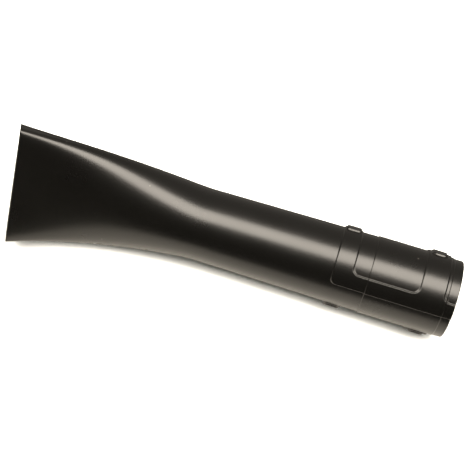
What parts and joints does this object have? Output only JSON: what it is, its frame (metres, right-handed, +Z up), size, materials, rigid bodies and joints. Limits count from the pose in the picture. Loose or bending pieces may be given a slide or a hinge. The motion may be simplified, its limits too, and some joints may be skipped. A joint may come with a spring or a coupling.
{
  "type": "leaf blower suction nozzle",
  "caption": "Black moulded nozzle: a round twist-lock socket and tapered tube that flare into a flat, bent mouth.",
  "frame": {"origin": "centre of the socket's open end, on the socket's axis", "axes": "+X along the socket's axis and out of its open end, +Z up as the nozzle lies on a table"},
  "size_m": [0.424, 0.1084, 0.1089],
  "materials": {
    "nozzle": "satin"
  },
  "bodies": {
    "root": {"nozzle": "nozzle"}
  },
  "joints": []
}
